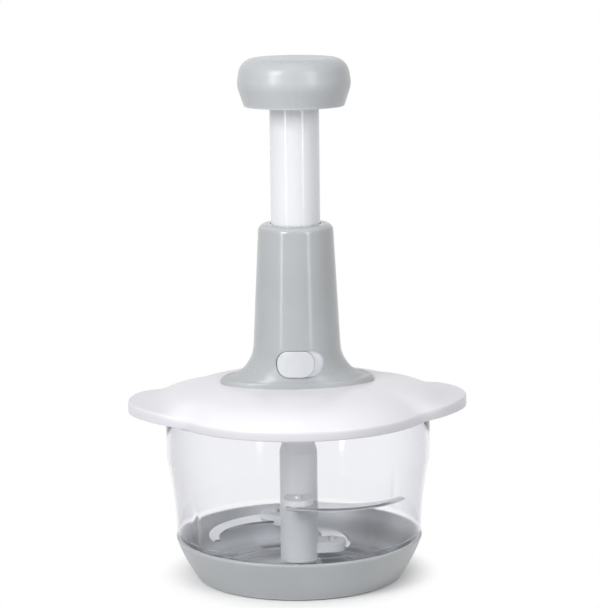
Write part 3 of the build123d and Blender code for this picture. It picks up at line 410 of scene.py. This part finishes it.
# %% Finishes by slot and by node
finishes = {
    "grey_plastic": base_grey,
    "light_grey_plastic": button_grey,
    "white_plastic": lid_white,
    "glossy_white_plastic": tube_white,
    "clear_plastic": bowl_clear,
    "bearing_plastic": bearing,
    "soft_rubber": rubber,
    "clear_silicone": silicone,
    "steel": plain_steel,
    "blade_steel": blade_steel,
    "spring_steel": spring_steel,
}
special = {
    "knob_cap": knob_grey,
    "knob_plate": knob_grey,
    "tower": tower_grey,
    "blade_hub": hub_grey,
    "blade_rivets": hub_grey,
}
for part in frame["record"]["subparts"]:
    solid = frame["nodes"][part["node"]]
    solid.data.materials.clear()
    solid.data.materials.append(special.get(part["node"], finishes[part["material_slot"]]).material)
print("dressed", len(frame["nodes"]), "nodes")

# %% [markdown]
# ## A lathe
#
# The bowl and the lid are round, so both start as a profile beside the main axis. Blender could revolve a
# curve with a Screw modifier, but a profile in bmesh can be changed point by point before and after it is
# spun. The lathe below draws straight runs by extruding the last point and arcs by spinning it.

# %% The lathe
class Lathe:
    """A profile drawn point by point, as radius and height in millimetres, and spun round the main axis."""

    def __init__(self, radius, height):
        self.mesh = bmesh.new()
        layers = self.mesh.verts.layers.float
        self.swell, self.reach, self.lift = layers.new("swell"), layers.new("reach"), layers.new("lift")
        self.tip = self.mesh.verts.new((radius * mm, 0, height * mm))

    def line(self, *points):
        """Straight runs. A point may go on to say how it follows the ears: its reach and its lift."""
        for radius, height, *follow in points:
            self.tip = bmesh.ops.extrude_vert_indiv(self.mesh, verts=[self.tip])["verts"][0]
            self.tip.co = (radius * mm, 0, height * mm)
            self.tip[self.reach], self.tip[self.lift] = follow or (0.0, 0.0)
            self.tip[self.swell] = self.tip[self.reach]

    def arc(self, radius, height, curve, steps=8):
        """An arc to a point. `curve` is its radius, positive where the way bends to the right."""
        start, end = Vector((self.tip.co.x, self.tip.co.z)), Vector((radius * mm, height * mm))
        half, side = (end - start) / 2, 1 if curve > 0 else -1
        away = Vector((half.y, -half.x)).normalized() * side * sqrt((curve * mm) ** 2 - half.length_squared)
        centre, turn = start + half + away, 2 * side * asin(half.length / abs(curve * mm))
        made = bmesh.ops.spin(
            self.mesh, geom=[self.tip], cent=(centre.x, 0, centre.y), axis=(0, 1, 0), angle=turn, steps=steps
        )
        self.tip = next(item for item in made["geom_last"] if isinstance(item, bmesh.types.BMVert))

    def spin(self, steps):
        """The whole turn. Points on the axis become one, and the faces are pointed outwards."""
        mesh = self.mesh
        bmesh.ops.spin(
            mesh, geom=mesh.verts[:] + mesh.edges[:], cent=(0, 0, 0), axis=(0, 0, 1), angle=2 * pi, steps=steps,
            use_merge=True,
        )
        bmesh.ops.remove_doubles(mesh, verts=mesh.verts[:], dist=1e-7)
        bmesh.ops.recalc_face_normals(mesh, faces=mesh.faces[:])
        return mesh


# %% Turning a mesh into a piece
def piece(name, mesh, finish, body, slot, *nodes):
    """An object of the mesh, smooth but for its sharp edges, that rides on a body in place of solids."""
    for face in mesh.faces:
        face.smooth = True
    for edge in mesh.edges:
        edge.smooth = edge.calc_face_angle(0.0) < radians(38)
    data = bpy.data.meshes.new(name)
    mesh.to_mesh(data)
    mesh.free()
    made = bpy.data.objects.new(name, data)
    bpy.context.collection.objects.link(made)
    made.data.materials.append(finish.material)
    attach(made, body)
    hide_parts(*nodes)
    print(name, "has", len(data.polygons), "faces and rides on", body)
    return made


# %% [markdown]
# ## The lid
#
# The real lid is one moulding: a low dome whose rim swells into two ears. The rim climbs as it reaches them,
# and the dome runs out into each ear without a seam, which a join of two solids shows as a ridge. So the lid
# is spun as a round one, and then each point moves outwards and upwards by as much as the ear asks for at its
# angle. The points carry three numbers for this: how far they follow the dome, which swells into an oval,
# how far they follow the rim, which goes on to the ear's tip, and how far the ear lifts them.

# %% The ear's plan
skirt, deck, dome_edge = 86.6, 126.0, (85.94, 111.98)
ear_centre, ear_radius, ear_top, stretched = 60.0, 48.0, 115.8, 97.9


def joined(one, other, width):
    """The larger of two numbers, rounded off where they are closer than `width`."""
    near = max(width - abs(one - other), 0.0) / width
    return max(one, other) + near * near * width / 4


def ear(angle):
    """At an angle: how far the rim and how far the dome stand out from the skirt, and the share of the lift."""
    turn = acos(min(1.0, abs(cos(angle))))
    inside = ear_radius**2 - (ear_centre * sin(turn)) ** 2
    outline = ear_centre * cos(turn) + sqrt(inside) if inside > 0 else 0.0
    rim = joined(skirt, outline, 6.0) - skirt if turn < radians(50) else 0.0
    oval = 1 / sqrt((cos(turn) / stretched) ** 2 + (sin(turn) / skirt) ** 2) - skirt
    dome = (rim**-6 + oval**-6) ** (-1 / 6) if min(rim, oval) > 0.01 else 0.0
    slope = min(1.0, max(0.0, (radians(43) - turn) / radians(30)))
    return rim, dome, slope * slope * (3 - 2 * slope)


print("ears stand out", round(ear(0)[0], 1), "mm")

# %% The lid's profile
lid = Lathe(11.05, deck)
lid.line((42.0, deck))
lid.arc(68.4, 122.52, 102.0, steps=30)
lid.arc(*dome_edge, 37.1, steps=26)
for point in lid.mesh.verts:
    run = max(0.0, (point.co.x / mm - 42.0) / (dome_edge[0] - 42.0))
    height = point.co.z / mm
    point[lid.swell], point[lid.reach] = run, run**14
    point[lid.lift] = joined(height, ear_top, 3.0) - height
lid.arc(skirt, 110.68, 1.6, steps=6)
for point in [v for v in lid.mesh.verts if v.co.z < 0.11197]:
    point[lid.swell], point[lid.reach], point[lid.lift] = 1.0, 1.0, 3.82
lid.line((skirt, 106.1, 1, 3.3), (86.45, 105.75, 1, 3.1), (86.2, 105.6, 1, 3.1))
lid.line((86.16, 105.56, 0.9, 3.14), (86.12, 105.56, 0.9, 5.7), (86.08, 105.54, 0.1, 5.7))
lid.line((86.04, 105.52, 0.1, 3.18), (86.0, 105.5, 0.028, 3.2), (85.96, 105.34, 0.03, 0), (85.6, 105.3))
lid.line((84.5, 105.3), (84.5, 110), (81.5, 110), (81.5, 108.6), (80.1, 108.6), (80.1, 106.2), (81.5, 106.2))
lid.line((81.5, 105.6), (81.2, 105.3), (79.4, 105.3), (79.2, 105.6), (79.2, 113.4))
lid.arc(42.0, 123.7, -73.6, steps=20)
lid.line((15.5, 123.7), (15.5, 110.5), (13.15, 110.5), (13.15, 112.9), (11.05, 112.9), (11.05, deck))
lid_mesh = lid.spin(240)
print("lid profile spun into", len(lid_mesh.faces), "faces")

# %% Pulling out the ears
for point in lid_mesh.verts:
    angle = atan2(point.co.y, point.co.x)
    rim, dome, share = ear(angle)
    out = (point[lid.swell] * dome + point[lid.reach] * (rim - dome)) * mm
    point.co += Vector((cos(angle) * out, sin(angle) * out, point[lid.lift] * share * mm))
rib_size, rib_out, rib_apart, rib_height = Vector((16.6, 1.6, 2.6)), 96.2, 14, 110.1
for side in (-1, 1):
    for row in (-1, 1):
        rib = bmesh.ops.create_cube(lid_mesh, size=1)["verts"]
        bmesh.ops.scale(lid_mesh, verts=rib, vec=rib_size * mm)
        place = Vector((side * rib_out, row * rib_apart, rib_height))
        bmesh.ops.translate(lid_mesh, verts=rib, vec=place * mm)
piece("lid_shell", lid_mesh, lid_white, "lid", "white_plastic", "lid")

# %% [markdown]
# ## The bowl
#
# The bowl bulges over the cup's rim and has four shallow upright ribs inside, which fling the food back into
# the blades. It is spun with its real wall, because clear plastic looks right only when light enters one
# face and leaves another. The ribs are then pressed in: each point near a rib's angle moves towards the axis
# by a smooth bell of the distance, and the bell fades at both ends of the rib.

# %% The bowl's profile
bowl = Lathe(2.55, 4.05)
bowl.line((0, 4.05), (0, 4.0), (64.4, 4.0), (64.76, 4.25))
bowl.arc(76.1, 26.6, -99.12, steps=14)
bowl.arc(76.9, 27.2, -0.9, steps=3)
bowl.line((78.4, 27.4))
bowl.arc(84.2, 78.0, 264.64, steps=24)
bowl.line((84.2, 92.0), (84.2, 109.6))
bowl.arc(83.8, 110.0, -0.4, steps=3)
bowl.line((82.3, 110.0))
bowl.arc(81.9, 109.6, -0.4, steps=3)
bowl.line((81.9, 92.0), (81.9, 78.0))
bowl.arc(77.53, 30.3, -262.34, steps=24)
bowl.line((75.4, 27.6), (73.02, 24.5))
bowl.arc(66.2, 11.4, 96.8, steps=8)
bowl.arc(60.2, 6.4, 7.0, steps=8)
bowl.line((8, 6.4), (8, 7.5), (7.6, 7.9), (2.55, 7.9), (2.55, 4.05))
bowl_mesh = bowl.spin(480)

# %% Pressing in the ribs
rib_foot, rib_top, rib_depth, rib_width = 29, 64, 1.1, 3.4
for point in bowl_mesh.verts:
    radius, height = point.co.xy.length / mm, point.co.z / mm
    if not rib_foot < height < rib_top:
        continue
    fade = min(1.0, (height - rib_foot) / 6) * min(1.0, (rib_top - height) / 24)
    for turn in (31, 121, 211, 301):
        across = (atan2(point.co.y, point.co.x) - radians(turn) + pi) % (2 * pi) - pi
        press = rib_depth * fade * fade * (3 - 2 * fade) * exp(-((across * radius / rib_width) ** 2))
        point.co.xy *= 1 - press / radius
piece("bowl_shell", bowl_mesh, bowl_clear, "bowl", "clear_plastic", "bowl")

# %% [markdown]
# ## The return spring
#
# The spring is wound from one wire, so the wire's round section is spun round the main axis while it climbs.
# A Screw modifier could do that too. The real spring closes as the knob goes down; here it is wound once at
# its full length and rides on the lid.

# %% Winding the spring
turns, per_turn, foot, top = 14, 28, 226.9, 318.9
wire_radius, coil_radius, seat_height = 0.6, 10.4, 0.2263

coil = bmesh.new()
section = bmesh.ops.create_circle(coil, segments=10, radius=wire_radius * mm)["verts"]
bmesh.ops.rotate(coil, verts=section, matrix=Matrix.Rotation(pi / 2, 3, "X"))
bmesh.ops.translate(coil, verts=section, vec=(coil_radius * mm, 0, foot * mm))
climb = (top - foot) / (turns * per_turn) * mm
bmesh.ops.spin(
    coil, geom=coil.verts[:] + coil.edges[:], cent=(0, 0, 0), axis=(0, 0, 1), dvec=(0, 0, climb),
    angle=2 * pi * turns, steps=turns * per_turn,
)
bmesh.ops.holes_fill(coil, edges=[edge for edge in coil.edges if edge.is_boundary])
bmesh.ops.recalc_face_normals(coil, faces=coil.faces[:])
spring = piece("spring_coil", coil, spring_steel, "lid", "spring_steel", "return_spring")
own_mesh(spring)

# %% [markdown]
# ## Floor
#
# The chopper stands on a large sheet of pale paper. Near the base the paper takes the object's shadow, and
# further out it turns, over a few centimetres, into plain white for the camera, so that no horizon shows.

# %% Floor
bpy.ops.mesh.primitive_plane_add(size=12.0, location=(0, 0, -0.0002))
floor = bpy.context.object
floor.name = "studio_floor"
ground = Finish("floor_paper", Roughness=0.7)
x, y, z, radius = ground.parts()
fibre = ground.noise(0.0015, 3)
near_paper, far_paper = paint(250, 250, 250), paint(190, 190, 191)
sheet = ground.blend(fibre * 0.06, near_paper, tint(near_paper, 0.9))
ground.set(Base_Color=ground.blend(ground.step(radius, 0.1, 0.2), sheet, far_paper))
rays = ground.node("ShaderNodeLightPath", {}, {})
seen = rays["Is Camera Ray"] + rays["Is Glossy Ray"] + rays["Is Transmission Ray"]
glow = ground.node("ShaderNodeEmission", {}, {"Color": (1, 1, 1, 1), "Strength": 1.0})[0]
ground.show(ground.step(radius, 0.062, 0.092) * ground.pick("MINIMUM", seen, 1.0), glow)
floor.data.materials.append(ground.material)

# %% [markdown]
# ## Light and camera
#
# A large soft box to the left of the camera is the main light, and a weaker one to the right fills in. Beside
# each stands a narrow strip that reaches down to the floor: upright walls mirror what is below the horizon, so
# the strips draw the soft upright bands that show how round the tower is. A broad lamp overhead and a dim
# white world fill the rest. What the camera, a mirror or the clear bowl sees of the world is plain white.

# %% World
lighting_level, seen_level = 0.37, 1.0

world = bpy.data.worlds.new("studio")
bpy.context.scene.world = world
world.use_nodes = True
sky, links = world.node_tree.nodes, world.node_tree.links
rays = sky.new("ShaderNodeLightPath")
first, seen = sky.new("ShaderNodeMath"), sky.new("ShaderNodeMath")
first.operation = seen.operation = "ADD"
links.new(rays.outputs["Is Camera Ray"], first.inputs[0])
links.new(rays.outputs["Is Glossy Ray"], first.inputs[1])
links.new(first.outputs[0], seen.inputs[0])
links.new(rays.outputs["Is Transmission Ray"], seen.inputs[1])
level = sky.new("ShaderNodeMapRange")
links.new(seen.outputs[0], level.inputs["Value"])
level.inputs["To Min"].default_value = lighting_level
level.inputs["To Max"].default_value = seen_level
sky["Background"].inputs["Color"].default_value = (1, 1, 1, 1)
links.new(level.outputs[0], sky["Background"].inputs["Strength"])
print("world lights at", lighting_level, "and shows at", seen_level)


# %% Lamps
def softbox(name, azimuth, elevation, distance, width, height, power):
    """A rectangular lamp aimed at the chopper. Azimuth 0 is in front, 90 to the right."""
    lamp = bpy.data.objects.new(name, bpy.data.lights.new(name, "AREA"))
    lamp.data.shape, lamp.data.size, lamp.data.size_y, lamp.data.energy = "RECTANGLE", width, height, power
    a, e = radians(azimuth), radians(elevation)
    aim = Vector((0, 0, 0.17))
    lamp.location = aim + distance * Vector((sin(a) * cos(e), -cos(a) * cos(e), sin(e)))
    lamp.rotation_euler = (aim - lamp.location).to_track_quat("-Z", "Y").to_euler()
    bpy.context.collection.objects.link(lamp)
    return lamp


softbox("key_left", -46, 32, 1.6, 0.5, 0.8, 13.2)
softbox("fill_right", 33, 30, 1.6, 0.5, 0.8, 4.8)
softbox("strip_left", -47, 9, 1.7, 0.15, 0.85, 3.2)
softbox("strip_right", 33, 9, 1.7, 0.2, 0.85, 2.9)
softbox("top", 0, 80, 1.5, 1.2, 1.2, 2.8)

# %% Camera
eye, aim = Vector((-0.1125, -1.4958, 0.432)), Vector((0.00219, -0.000165, 0.1752))
camera = bpy.data.objects.new("camera", bpy.data.cameras.new("camera"))
camera.data.sensor_fit, camera.data.sensor_height, camera.data.lens = "VERTICAL", 36.0, 142.2
turned = (aim - eye).to_track_quat("-Z", "Y").to_matrix().to_4x4() @ Matrix.Rotation(radians(-0.68), 4, "Z")
camera.matrix_world = Matrix.Translation(eye) @ turned
bpy.context.collection.objects.link(camera)
bpy.context.scene.camera = camera
bpy.context.scene.view_settings.view_transform = "Standard"
print("camera", round((aim - eye).length, 3), "m from the chopper")
